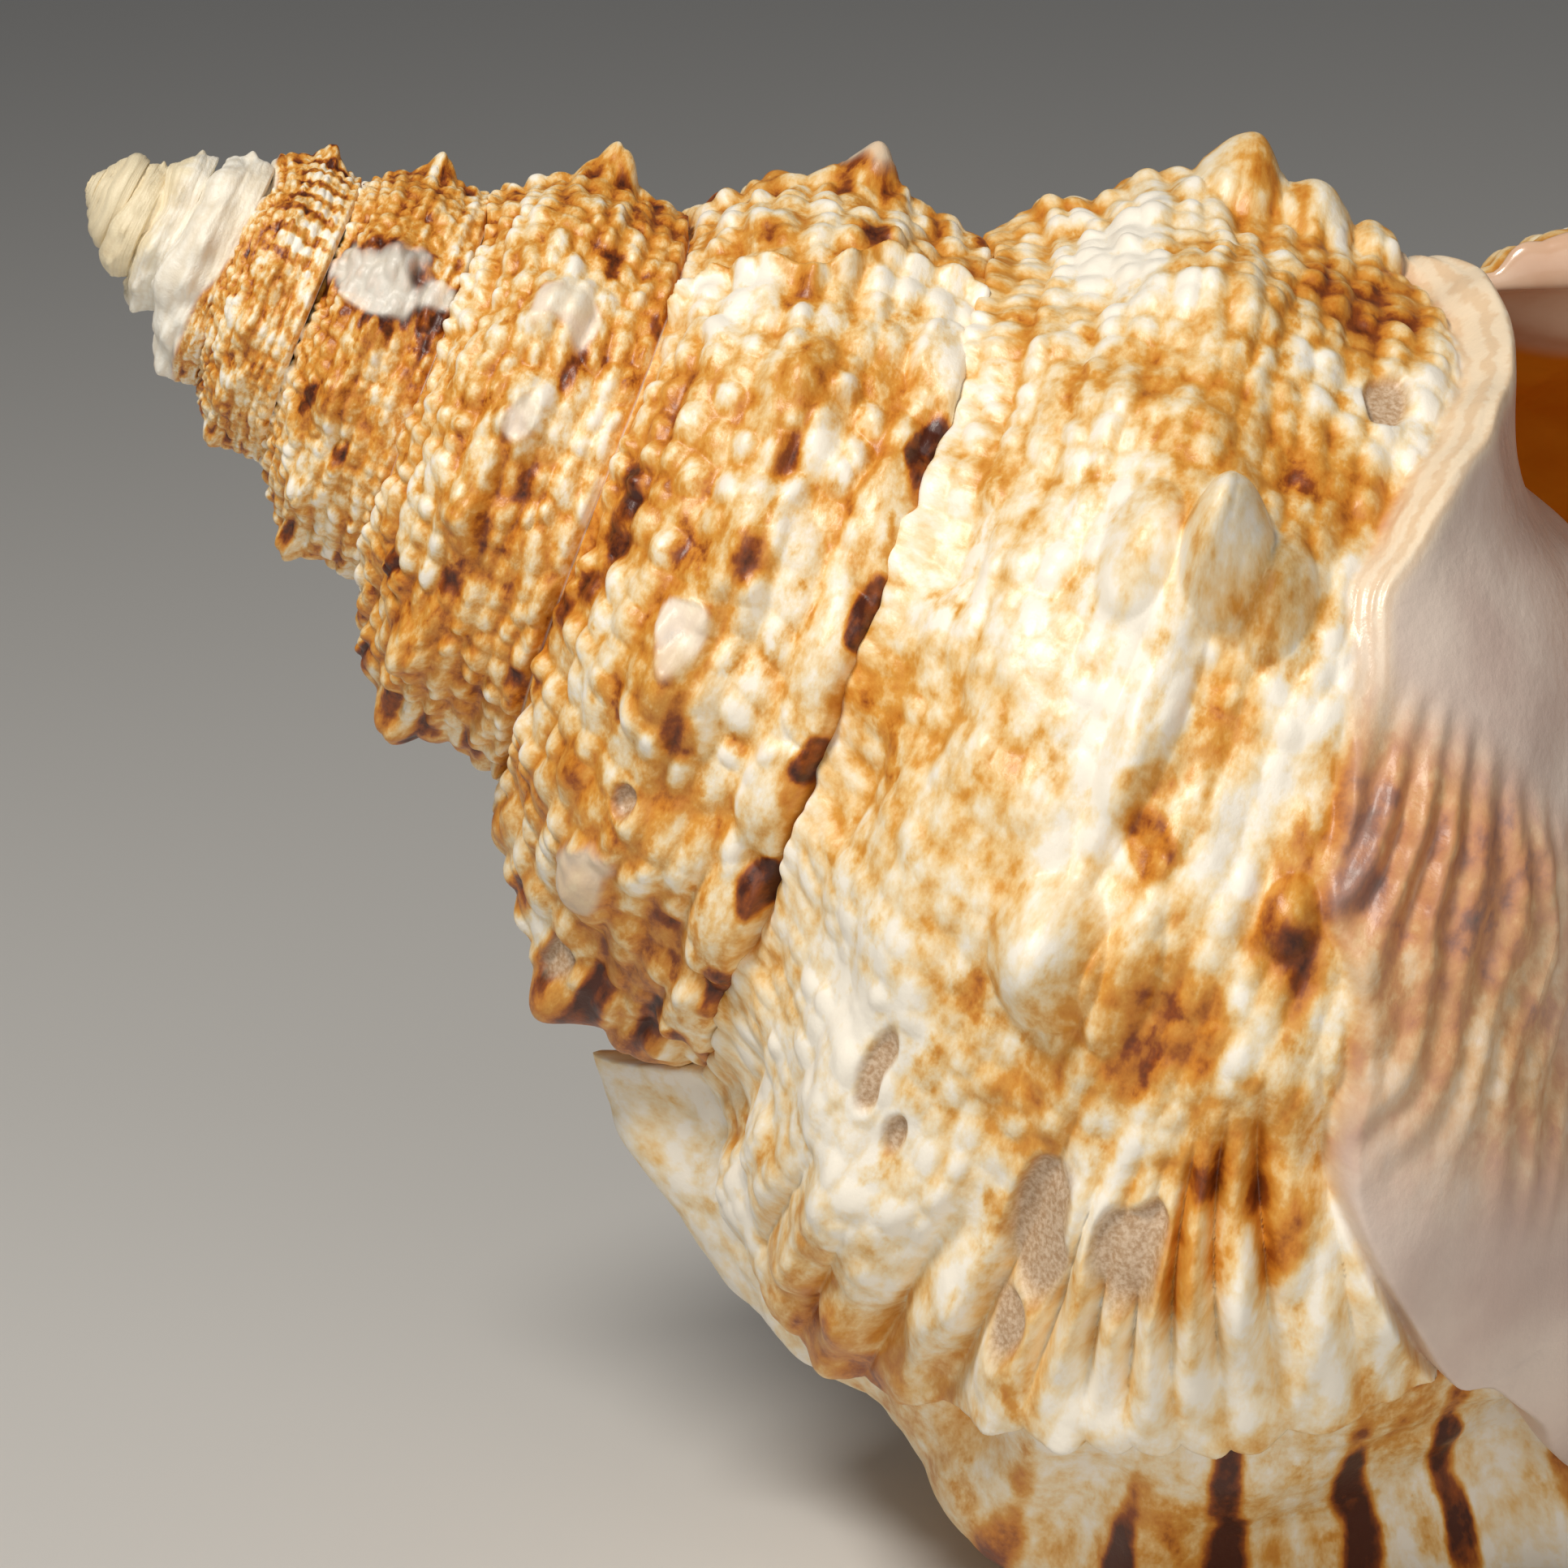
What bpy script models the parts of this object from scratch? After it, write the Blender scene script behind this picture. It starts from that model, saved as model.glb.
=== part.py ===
"""A large frog shell, lying on a table as it rests by itself.

The shell is one grown piece. It is drawn in its own frame first, in millimetres: the coiling axis
runs along +Z from the apex to the siphonal canal, and the outer lip ends in the plane of +X. Every
whorl is the same profile, scaled by GROWTH for each turn. The finished shell is turned into its
resting pose, in metres, and worn flat by a fraction of a millimetre where it touches the table.
"""
import math

import bmesh
import bpy
from mathutils import Matrix, Vector

# Coiling, in millimetres and turns; turn 0 to 1 is the body whorl, and the lip ends at turn 1
GROWTH = 1.50                # size of one whorl over the size of the whorl before it
BODY_SUTURE = 59.4           # apex to the suture where the body whorl starts
SPIRE_WHORLS = 5
APEX_ROUNDING = 0.9          # radius added all along the shell, which rounds the apex
LENGTH = 196.0               # apex to the tip of the siphonal canal
COLUMELLA_RADIUS = 7.5       # pillar in the middle of the base
COLUMELLA_TIP_RADIUS = 3.75
COLUMELLA_TAPER = 0.85       # it narrows from here on, over the shell's length

# Whorl profile as radius and height, both over the height of the whorl's own suture
PROFILE = [
    (0.437, 1.000), (0.520, 1.065), (0.585, 1.125), (0.615, 1.190), (0.632, 1.280),
    (0.642, 1.360), (0.655, 1.500), (0.630, 1.620), (0.550, 1.750), (0.430, 1.860),
    (0.310, 1.960), (0.210, 2.070), (0.140, 2.180), (0.105, 2.300), (0.000, 2.700),
]
SUTURE_LEVEL = PROFILE[0][1]
BASE_LEVEL = 1.90            # where the body whorl narrows to the canal
CANAL_LEVEL = 2.20           # where the canal is fully narrow
SHOULDER_LEVEL = 1.160       # where the shoulder knobs stand

# Knobs of each spire whorl: place in the turn, and how far they stand out over the suture's height
SPIRE_KNOBS = [
    (0.02, 0.085), (0.18, 0.055), (0.25, 0.040), (0.31, 0.060), (0.40, 0.065), (0.50, 0.090),
    (0.63, 0.060), (0.75, 0.065), (0.87, 0.060),
]
# Knobs of the body whorl: place in the turn, level, and how far they stand out
BODY_KNOBS = [
    (0.020, 1.160, 0.085), (0.030, 1.300, 0.045), (0.200, 1.250, 0.075), (0.205, 1.140, 0.035),
    (0.310, 1.250, 0.070), (0.400, 1.120, 0.030), (0.490, 1.170, 0.070), (0.500, 1.420, 0.050),
    (0.620, 1.190, 0.080), (0.630, 1.500, 0.150), (0.745, 1.180, 0.085), (0.750, 1.500, 0.050),
    (0.870, 1.180, 0.080), (0.875, 1.480, 0.050),
]
KNOB_TURN = 0.032            # half width of a knob along the whorl, in turns
KNOB_LEVEL = 0.058           # half width of a knob along the axis

# Varices are the ridges left by earlier lips, half a turn apart
VARIX_TURNS = [-2.97, -2.50, -1.97, -1.50, -0.97, -0.50, 0.02]
VARIX_STEP = 0.030           # how far such a ridge stands out
VARIX_SIDES = (0.030, 0.012)  # turns of its slow rise and of its quick fall
VARIX_LEVELS = (1.00, 1.06, 1.36, 1.49)
LAST_VARIX_TURN = 0.475      # the strong varix of the body whorl
LAST_VARIX_STEP = 0.085
LAST_VARIX_SIDES = (0.045, 0.022)
LAST_VARIX_LEVELS = (1.00, 1.10, BASE_LEVEL, CANAL_LEVEL)
OLD_LIP_TURN = 0.525         # the flared old lip just behind it
OLD_LIP_STEP = 0.085
OLD_LIP_SIDES = (0.026, 0.024)
CREST_SLANT = 0.08           # turns that these two lean back, for each level below SLANT_LEVEL
SLANT_LEVEL = 1.30
LIP_FLARE = 0.110            # how far the lip flares outward over the whorl
LIP_FLARE_TURNS = 0.045
LIP_FLARE_LEVELS = (1.05, 1.30, BASE_LEVEL, CANAL_LEVEL)

# Glaze of the inner lip, spread over the body whorl beside the aperture
GLAZE_STEP = 0.030
GLAZE_SHELF = 0.090          # how far its free margin stands off near the old varix
GLAZE_EDGE_LEVEL = 1.46      # it covers the whorl below this level
GLAZE_SOFTNESS = 0.18        # its edge fades over this much of a level
GLAZE_TURNS = (0.00, 0.03, 0.38, 0.50)
GLAZE_TURN_DOWN = 0.25       # from this turn on its edge runs down to the canal
GLAZE_EDGE_FALL = 2.5        # levels per turn
SHELF_TURNS = (0.20, 0.36)
SHELF_LEVELS = (1.90, 2.30)

# Mesh of the outside
COLUMNS = 60                 # around one turn
ROWS_PER_WHORL = 7
BODY_ROWS = 29
WELD = 0.002

# Hollow of the body whorl, open at the aperture
WALL = 4.0                   # at the lip, and thinner by the growth of the whorls further in
CANAL_WALL = 2.2
CANAL_WALL_LEVELS = (1.8, 2.1)
LIP_WALL = 8.0               # the thick lip
LIP_WALL_TURNS = (0.86, 0.95)
LIP_EDGE = 1.2               # its rim
LIP_EDGE_TURNS = (0.97, 1.02)
INNER_GAP = 1.2              # from the hollow to the pillar and the whorl inside it
NARROWEST = 0.6              # of the hollow, where the two walls meet
TOP_WALLS = 1.3              # the hollow starts this many walls below the suture
CANAL_OVERCUT = 4.0          # past the canal's tip, which opens the canal
HOLLOW_START_TURN = 1.075
HOLLOW_END_TURN = -1.70
HOLLOW_RINGS = 64
HOLLOW_SIDE_POINTS = 7

# Rest: the shell is spun about its axis, then the axis is dipped below the horizontal
REST_SPIN = math.radians(-193.97)
REST_DIP = math.radians(32.54)
WORN_DEPTH = 0.8             # depth of the worn spots it rests on
TABLE = 0.4                  # side of the cube that wears them, in metres
MM = 0.001


def suture_height(turn):
    return BODY_SUTURE * GROWTH ** turn


def profile_radius(level):
    """Radius of the plain whorl at a level, both over the suture's height."""
    if level <= SUTURE_LEVEL:
        return PROFILE[0][0]
    for (radius, low), (next_radius, high) in zip(PROFILE, PROFILE[1:]):
        if level <= high:
            return radius + (next_radius - radius) * (level - low) / (high - low)
    return PROFILE[-1][0]


def bump(offset, width):
    return math.exp(-(offset / width) ** 2)


def ramp(value, start, end):
    """Smooth step from 0 at start to 1 at end."""
    share = min(1.0, max(0.0, (value - start) / (end - start)))
    return share * share * (3.0 - 2.0 * share)


def window(value, start, full, fade, end):
    """Smooth step up from start to full and down again from fade to end."""
    return ramp(value, start, full) * (1.0 - ramp(value, fade, end))


def ridge(turn, crest, sides):
    """A ridge along the axis, with its own width before and after the crest."""
    before, after = sides
    return bump(turn - crest, before if turn < crest else after)


def knob_relief(turn, level):
    out = 0.0
    if abs(level - SHOULDER_LEVEL) < 4.0 * KNOB_LEVEL:
        for whorl in range(-SPIRE_WHORLS, 0):
            for place, step in SPIRE_KNOBS:
                along = bump(turn - whorl - place, KNOB_TURN)
                out += step * along * bump(level - SHOULDER_LEVEL, KNOB_LEVEL)
    for place, height, step in BODY_KNOBS:
        out += step * bump(turn - place, KNOB_TURN) * bump(level - height, KNOB_LEVEL)
    return out * ramp(level, SUTURE_LEVEL, SUTURE_LEVEL + 0.05)


def varix_relief(turn, level):
    """Ridges of the earlier lips, with the strongest one and its flared lip on the body whorl."""
    side = window(level, *VARIX_LEVELS)
    out = sum(VARIX_STEP * side * ridge(turn, crest, VARIX_SIDES) for crest in VARIX_TURNS)
    slant = CREST_SLANT * max(0.0, level - SLANT_LEVEL)
    body_side = window(level, *LAST_VARIX_LEVELS)
    out += LAST_VARIX_STEP * body_side * ridge(turn, LAST_VARIX_TURN - slant, LAST_VARIX_SIDES)
    old_side = 1.0 - ramp(level, BASE_LEVEL, CANAL_LEVEL)
    out += OLD_LIP_STEP * old_side * ridge(turn, OLD_LIP_TURN - slant, OLD_LIP_SIDES)
    return out


def lip_relief(turn, level):
    return LIP_FLARE * window(level, *LIP_FLARE_LEVELS) * ramp(turn, 1.0 - LIP_FLARE_TURNS, 1.0)


def glaze_relief(turn, level):
    """The glaze starts at the aperture's upper corner and stands free as it nears the old varix."""
    edge = GLAZE_EDGE_LEVEL + GLAZE_EDGE_FALL * max(0.0, turn - GLAZE_TURN_DOWN)
    on = ramp(level, edge, edge + GLAZE_SOFTNESS) * window(turn, *GLAZE_TURNS)
    shelf = ramp(turn, *SHELF_TURNS) * (1.0 - ramp(level, *SHELF_LEVELS))
    return on * (GLAZE_STEP + GLAZE_SHELF * shelf)


def columella_radius(height):
    """Radius of the pillar, which narrows towards the canal's tip."""
    narrowing = ramp(height, COLUMELLA_TAPER * LENGTH, LENGTH)
    return COLUMELLA_RADIUS + (COLUMELLA_TIP_RADIUS - COLUMELLA_RADIUS) * narrowing


def outside_radius(angle, height):
    """Radius of the shell's outside, at an angle from 0 to 1 turn and a height in millimetres."""
    turn = angle
    while suture_height(turn) > height and turn > -SPIRE_WHORLS:
        turn -= 1.0
    scale = suture_height(turn)
    level = height / scale
    relief = knob_relief(turn, level) + varix_relief(turn, level)
    if turn > 0.0:
        relief += lip_relief(turn, level) + glaze_relief(turn, level)
    radius = scale * (profile_radius(level) + relief) + APEX_ROUNDING
    if turn > 0.0:
        radius = max(radius, columella_radius(height))
    return radius


def row_height(row, angle):
    """Rows follow the suture round the spire and level out towards the canal."""
    suture_row = SPIRE_WHORLS * ROWS_PER_WHORL
    low = suture_height(angle)
    if row <= suture_row:
        return low * GROWTH ** ((row - suture_row) / ROWS_PER_WHORL)
    below = row - suture_row
    if below <= ROWS_PER_WHORL:
        start_height = suture_height(below / ROWS_PER_WHORL)
    else:
        share = (below - ROWS_PER_WHORL) / (BODY_ROWS - ROWS_PER_WHORL)
        start_height = suture_height(1.0) + (LENGTH - suture_height(1.0)) * share
    return low + (LENGTH - low) * (start_height - BODY_SUTURE) / (LENGTH - BODY_SUTURE)


def on_axis_frame(radius, turn, height):
    return Vector((radius * math.cos(math.tau * turn), radius * math.sin(math.tau * turn), height))


def outside_skin():
    """The outside as one closed skin: a grid wrapped round the axis, with the mouth still filled."""
    rows = SPIRE_WHORLS * ROWS_PER_WHORL + BODY_ROWS
    skin = bmesh.new()
    bmesh.ops.create_grid(skin, x_segments=COLUMNS, y_segments=rows, size=0.5)
    for vert in skin.verts:
        angle = vert.co.x + 0.5
        row = round((vert.co.y + 0.5) * rows)
        height = row_height(row, angle)
        radius = outside_radius(angle, height)
        if row == 0:
            radius, height = 0.0, 0.0
        if row == rows:
            radius = 0.0
        vert.co = on_axis_frame(radius, angle, height)
    bmesh.ops.remove_doubles(skin, verts=skin.verts, dist=WELD)
    open_edges = [edge for edge in skin.edges if edge.is_boundary]
    bmesh.ops.holes_fill(skin, edges=open_edges, sides=0)
    bmesh.ops.triangulate(skin, faces=skin.faces)
    bmesh.ops.recalc_face_normals(skin, faces=skin.faces)
    return skin


def hollow_point(turn, around):
    """A point of the hollow: around runs from 0 to 1 down the outer wall and back up the pillar."""
    scale = suture_height(turn)
    plain_wall = WALL * GROWTH ** min(turn - 1.0, 0.0)
    top = scale * SUTURE_LEVEL + TOP_WALLS * plain_wall
    bottom = min(scale * CANAL_LEVEL, LENGTH + CANAL_OVERCUT)
    outer = around <= 0.5
    share = 2.0 * around if outer else 2.0 * (1.0 - around)
    height = top + (bottom - top) * share
    level = height / scale
    low_share = ramp(level, *CANAL_WALL_LEVELS)
    wall = plain_wall + (CANAL_WALL - plain_wall) * low_share
    wall += (LIP_WALL - WALL) * ramp(turn, *LIP_WALL_TURNS) * (1.0 - low_share)
    wall += (LIP_EDGE - wall) * ramp(turn, *LIP_EDGE_TURNS)
    outer_radius = scale * (profile_radius(level) + lip_relief(min(turn, 1.0), level)) + APEX_ROUNDING - wall
    inner_turn = turn - 1.0
    inner_level = height / suture_height(inner_turn)
    inner_radius = max(columella_radius(height), suture_height(inner_turn) * profile_radius(inner_level))
    inner_radius += APEX_ROUNDING + INNER_GAP
    middle = 0.5 * (outer_radius + inner_radius)
    if outer_radius < inner_radius + NARROWEST:
        outer_radius, inner_radius = middle + 0.5 * NARROWEST, middle - 0.5 * NARROWEST
    return on_axis_frame(outer_radius if outer else inner_radius, turn, height)


def hollow_skin():
    """The animal's room: a tube that follows the last whorl in from the aperture."""
    points = 2 * HOLLOW_SIDE_POINTS
    tube = bmesh.new()
    bmesh.ops.create_grid(tube, x_segments=points, y_segments=HOLLOW_RINGS, size=0.5)
    for vert in tube.verts:
        around = round((vert.co.x + 0.5) * points) / points
        turn = HOLLOW_START_TURN + (HOLLOW_END_TURN - HOLLOW_START_TURN) * (vert.co.y + 0.5)
        vert.co = hollow_point(turn, around)
    bmesh.ops.remove_doubles(tube, verts=tube.verts, dist=WELD)
    open_edges = [edge for edge in tube.edges if edge.is_boundary]
    bmesh.ops.holes_fill(tube, edges=open_edges, sides=0)
    bmesh.ops.triangulate(tube, faces=tube.faces)
    bmesh.ops.recalc_face_normals(tube, faces=tube.faces)
    return tube


def new_object(name, skin, home):
    mesh = bpy.data.meshes.new(name)
    skin.to_mesh(mesh)
    skin.free()
    made = bpy.data.objects.new(name, mesh)
    home.objects.link(made)
    return made


def cutter(name, skin):
    made = new_object(name, skin, cutters)
    made.hide_render = True
    made.display_type = "WIRE"
    return made


def cut(target, tool):
    modifier = target.modifiers.new(tool.name, "BOOLEAN")
    modifier.operation = "DIFFERENCE"
    modifier.solver = "EXACT"
    modifier.object = tool


for old in list(bpy.data.objects):
    bpy.data.objects.remove(old)

shell_parts = bpy.data.collections.new("frog_shell")
bpy.context.scene.collection.children.link(shell_parts)
cutters = bpy.data.collections.new("cutters")
bpy.context.scene.collection.children.link(cutters)

# The resting pose, applied to the meshes so that the table is the plane z = 0
turned = Matrix.Rotation(0.5 * math.pi + REST_DIP, 4, "Y") @ Matrix.Rotation(REST_SPIN, 4, "Z")
resting = Matrix.Scale(MM, 4) @ turned
outside = outside_skin()
outside.transform(resting)
lows = [min(vert.co[axis] for vert in outside.verts) for axis in range(3)]
highs = [max(vert.co[axis] for vert in outside.verts) for axis in range(3)]
centre = Vector((-0.5 * (lows[0] + highs[0]), -0.5 * (lows[1] + highs[1]), -lows[2] - WORN_DEPTH * MM))
outside.transform(Matrix.Translation(centre))
shell = new_object("shell", outside, shell_parts)

hollow = hollow_skin()
hollow.transform(Matrix.Translation(centre) @ resting)
cut(shell, cutter("hollow", hollow))

# The table plane takes the tips off the points that the shell rests on
table = bmesh.new()
bmesh.ops.create_cube(table, size=TABLE)
bmesh.ops.translate(table, verts=table.verts, vec=(0.0, 0.0, -0.5 * TABLE))
cut(shell, cutter("worn_spots", table))

# Glossy cream shell with golden brown markings
shell_material = bpy.data.materials.new("glossy_cream_shell")
shell_material.use_nodes = True
finish = shell_material.node_tree.nodes["Principled BSDF"]
finish.inputs["Base Color"].default_value = (0.72, 0.52, 0.31, 1.0)
finish.inputs["Roughness"].default_value = 0.35
finish.inputs["Metallic"].default_value = 0.0
shell.data.materials.append(shell_material)
shell.data.shade_smooth()
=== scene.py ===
"""A large frog shell as the photograph shows it: knobs, beaded cords, old lips and a glazed aperture."""
import math

import bmesh
import bpy
import numpy as np
from mathutils import Matrix, Vector


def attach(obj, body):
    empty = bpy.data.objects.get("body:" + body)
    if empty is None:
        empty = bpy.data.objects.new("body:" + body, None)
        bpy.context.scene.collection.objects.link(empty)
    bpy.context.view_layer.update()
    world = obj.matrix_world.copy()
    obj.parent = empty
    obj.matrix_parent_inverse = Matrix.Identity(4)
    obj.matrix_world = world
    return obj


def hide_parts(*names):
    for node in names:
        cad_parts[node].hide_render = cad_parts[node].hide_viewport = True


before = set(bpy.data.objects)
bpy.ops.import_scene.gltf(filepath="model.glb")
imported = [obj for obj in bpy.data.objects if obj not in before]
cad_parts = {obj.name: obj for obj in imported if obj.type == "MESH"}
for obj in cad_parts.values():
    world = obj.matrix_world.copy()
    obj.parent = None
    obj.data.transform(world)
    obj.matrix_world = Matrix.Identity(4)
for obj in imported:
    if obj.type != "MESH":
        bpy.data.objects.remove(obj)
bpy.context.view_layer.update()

# The resting pose. The shell is drawn round its coiling axis in millimetres, with the apex at the
# origin and the axis along +Z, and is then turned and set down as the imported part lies.
MM = 0.001
APEX = Vector((-84.984, -4.920, 105.837)) * MM
REST_SPIN = math.radians(-193.97)
REST_DIP = math.radians(32.54)
turned = Matrix.Rotation(0.5 * math.pi + REST_DIP, 4, "Y") @ Matrix.Rotation(REST_SPIN, 4, "Z")
resting = Matrix.Translation(APEX) @ turned

# Camera. It was placed so that the apex, the axis and the sutures fall where the photograph has
# them: the axis falls to the right in the picture, and its far end leans away by a little.
PHOTO_SIZE = 1932
FIELD_OF_VIEW = math.radians(12.5)
APEX_PIXEL = (105, 222)
APEX_DISTANCE = 0.520
AXIS_FALL = math.radians(29.4)
AXIS_LEAN = math.radians(-1.5)

pixels_per_slope = 0.5 * PHOTO_SIZE / math.tan(0.5 * FIELD_OF_VIEW)
axis = Vector((math.cos(AXIS_LEAN) * math.cos(AXIS_FALL), -math.cos(AXIS_LEAN) * math.sin(AXIS_FALL),
               math.sin(AXIS_LEAN)))
near_side = (Vector((0.0, 0.0, 1.0)) - axis * axis.z).normalized()
upper_side = near_side.cross(axis)
from_camera = Matrix((upper_side, near_side, axis))
apex_seen = Vector(((APEX_PIXEL[0] - 0.5 * PHOTO_SIZE) / pixels_per_slope,
                    (0.5 * PHOTO_SIZE - APEX_PIXEL[1]) / pixels_per_slope, -1.0)) * APEX_DISTANCE
camera_data = bpy.data.cameras.new("camera")
camera_data.angle = FIELD_OF_VIEW
camera = bpy.data.objects.new("camera", camera_data)
camera.matrix_world = resting @ Matrix.Translation(-(from_camera @ apex_seen)) @ from_camera.to_4x4()
bpy.context.scene.collection.objects.link(camera)
bpy.context.scene.camera = camera

# Spire tip: the oldest whorls of the shell, of aragonite that the animal laid down first. They are
# worn to smooth bone white, with a yellow point, and each later whorl is grown onto them.
#
# Every whorl follows the same profile, GROWTH times larger each turn, so the functions that shape the
# whole coil are needed here. A spot on it has a turn, where 0 to 1 is the body whorl, and a place,
# where 0 is the whorl's upper suture, 1 the next one, and CANAL_END the tip of the canal.
GROWTH = 1.50
BODY_SUTURE = 59.4
APEX_ROUNDING = 0.9
APEX_TURN = -14.0
LENGTH = 196.0
COLUMELLA_RADIUS = 7.5
CANAL_END = 2.70
CANAL_START = 1.90
WHORL_PLACES = [0, .182, .335, .459, .617, .757, 1.0, 1.214, 1.482, 1.764, 2.034, 2.291, 2.5, 2.70]
WHORL_LEVELS = [1.0, 1.065, 1.125, 1.19, 1.28, 1.36, 1.50, 1.62, 1.75, 1.86, 1.96, 2.07, 2.18, 2.30]
PROFILE_LEVELS = [1.0, 1.065, 1.125, 1.19, 1.28, 1.36, 1.50, 1.62, 1.75, 1.86, 1.96, 2.07, 2.18, 2.30, 2.7]
PROFILE_RADII = [.437, .52, .585, .615, .632, .642, .655, .625, .54, .42, .30, .20, .15, .105, 0]
ARC = 0.6                    # millimetres of profile per place, over the whorl's suture height
COIL = 570.0                 # millimetres of coil up to turn 0
COIL_MAP_LENGTH = 17.0       # centimetres of coil in a turn and of profile in a place,
COIL_MAP_WIDTH = 2.6         # on the penultimate whorl

# Knobs: turn, place, height over the suture's height, half width in turns, half width in places
SPIRE_KNOBS = [(.02, .58, .100), (.10, .60, .025), (.184, .54, .065), (.25, .57, .060), (.31, .52, .070),
               (.375, .60, .030), (.41, .50, .060), (.50, .52, .075), (.63, .55, .075), (.75, .55, .080),
               (.87, .55, .075)]
SPIRE_KNOB_LONG, SPIRE_KNOB_WIDE = .021, .100
BODY_KNOBS = [
    (.020, .53, .076, .017, .070), (.028, .69, .060, .014, .065), (.026, .83, .040, .011, .050),
    (-.502, .62, .035, .026, .12), (-.498, .80, .055, .020, .09), (.235, .62, .035, .040, .045),
    (.110, .50, .015, .030, .12), (.204, .50, .045, .015, .055), (.196, .65, .142, .0135, .064),
    (.199, .765, .050, .013, .050), (.188, .57, .022, .030, .12), (.303, .62, .078, .015, .088),
    (.298, .76, .038, .015, .045), (.266, .98, .030, .008, .04), (.285, .80, .012, .030, .10),
    (.400, .47, .015, .022, .10), (.490, .50, .020, .030, .10), (.620, .52, .075, .030, .12),
    (.632, 1.00, .150, .032, .14), (.745, .52, .080, .030, .12), (.750, 1.00, .045, .030, .14),
    (.870, .52, .075, .030, .12), (.875, .96, .045, .030, .14),
]
# Smooth white pads just above the body whorl's suture
SUTURE_PADS = [
    (-.853, .90, .050, .018, .080), (-.783, .90, .056, .022, .085), (-.725, .90, .060, .022, .085),
    (-.673, .90, .056, .018, .085), (-.617, .90, .056, .022, .085), (-.560, .90, .046, .018, .080),
]
VARIX_TURNS = [-4.97, -4.5, -3.97, -3.5, -2.98, -2.5, -1.98, -1.5, -0.98, -0.5, 0.015]
VARIX_HEIGHT = 0.018         # over the whorl's suture height, as all heights below are


def suture_height(turn):
    """Height of the whorl's upper suture over the apex, in millimetres."""
    return BODY_SUTURE * GROWTH ** turn


def curve(x, knots, values):
    """Smooth curve through the values at the knots."""
    knots, values = np.array(knots), np.array(values)
    slopes = np.gradient(values, knots)
    left = np.clip(np.searchsorted(knots, x) - 1, 0, len(knots) - 2)
    width = knots[left + 1] - knots[left]
    t = np.clip((x - knots[left]) / width, 0.0, 1.0)
    return ((1 + 2 * t) * (1 - t) ** 2 * values[left] + t * (1 - t) ** 2 * width * slopes[left]
            + t * t * (3 - 2 * t) * values[left + 1] + t * t * (t - 1) * width * slopes[left + 1])


def ramp(x, start, end):
    """Smooth step from 0 at the start to 1 at the end."""
    t = np.clip((x - start) / (end - start), 0.0, 1.0)
    return t * t * (3.0 - 2.0 * t)


def bump(offset, width):
    """Bell curve, 1 in the middle."""
    return np.exp(-(offset / width) ** 2)


def mottle(x, y, seed):
    """Smooth random field from 0 to 1, one cell to the unit."""
    lattice = np.random.default_rng(seed).random((97, 89))
    left, low = np.floor(x).astype(int), np.floor(y).astype(int)
    x, y = x - left, y - low
    x, y = x * x * (3 - 2 * x), y * y * (3 - 2 * y)
    a, b = lattice[left % 97, low % 89], lattice[(left + 1) % 97, low % 89]
    c, d = lattice[left % 97, (low + 1) % 89], lattice[(left + 1) % 97, (low + 1) % 89]
    return (a * (1 - x) + b * x) * (1 - y) + (c * (1 - x) + d * x) * y


def whorl_section(turn, place):
    """Radius and height of the plain whorl, and its outward normal in that section."""
    size = suture_height(turn)

    def section(at):
        share = ramp(at, CANAL_START, CANAL_END)
        height = size * curve(at, WHORL_PLACES, WHORL_LEVELS) * (1 - share) + LENGTH * share
        plain = size * np.maximum(curve(height / size, PROFILE_LEVELS, PROFILE_RADII), 0.0)
        plain = plain + APEX_ROUNDING * np.sqrt(np.clip(height / 1.5, 0.0, 1.0))
        plain = plain + 0.9 * ramp(-turn, 2.6, 3.6) * np.clip(height / 3.0, 0.0, 1.0)
        pillar = COLUMELLA_RADIUS * (1.0 - 0.5 * ramp(height, 0.85 * LENGTH, LENGTH))
        radius = np.where(at > 1.2, 0.5 * (plain + pillar + np.hypot(plain - pillar, 1.5)), plain)
        radius = radius * np.sqrt(1.0 - ramp(at, CANAL_END - 0.06, CANAL_END))
        return radius * ramp(turn, APEX_TURN, APEX_TURN + 1.0), height

    radius, height = section(place)
    next_radius, next_height = section(np.minimum(place + 0.01, CANAL_END))
    last_radius, last_height = section(np.maximum(place - 0.01, 0.0))
    along_r, along_h = next_radius - last_radius, next_height - last_height
    length = np.hypot(along_r, along_h) + 1e-9
    return radius, height, along_h / length, -along_r / length


def knobs(turn, place):
    """Height of the knobs in millimetres."""
    out = np.zeros_like(turn)
    for whorl in range(-7, 0):
        for at, level, step in SPIRE_KNOBS:
            out += step * bump(turn - whorl - at, SPIRE_KNOB_LONG) * bump(place - level, SPIRE_KNOB_WIDE)
    for at, level, step, long, wide in BODY_KNOBS + SUTURE_PADS:
        reach = ((turn - at) / long) ** 2 + ((place - level) / wide) ** 2
        out += step * (0.65 * np.clip(1.0 - reach / 1.7, 0.0, 1.0) ** 0.85 + 0.35 * np.exp(-0.5 * reach))
    return out * suture_height(turn) * ramp(place, 0.02, 0.15)


def side_ridge(offset, before, after):
    """Ridge with its own half width on each side."""
    return bump(offset, np.where(offset < 0, before, after))


def varices(turn, place):
    """Low ridges where the lip once stood, half a turn apart, in millimetres."""
    out = np.zeros_like(turn)
    side = ramp(place, 0.0, 0.12) * (1.0 - ramp(place, 0.80, 0.98))
    for crest in VARIX_TURNS:
        lean = crest + 0.012 * (place - 0.5)
        out += VARIX_HEIGHT * side * side_ridge(turn - lean, 0.026, 0.010)
    return out * suture_height(turn)


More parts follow.
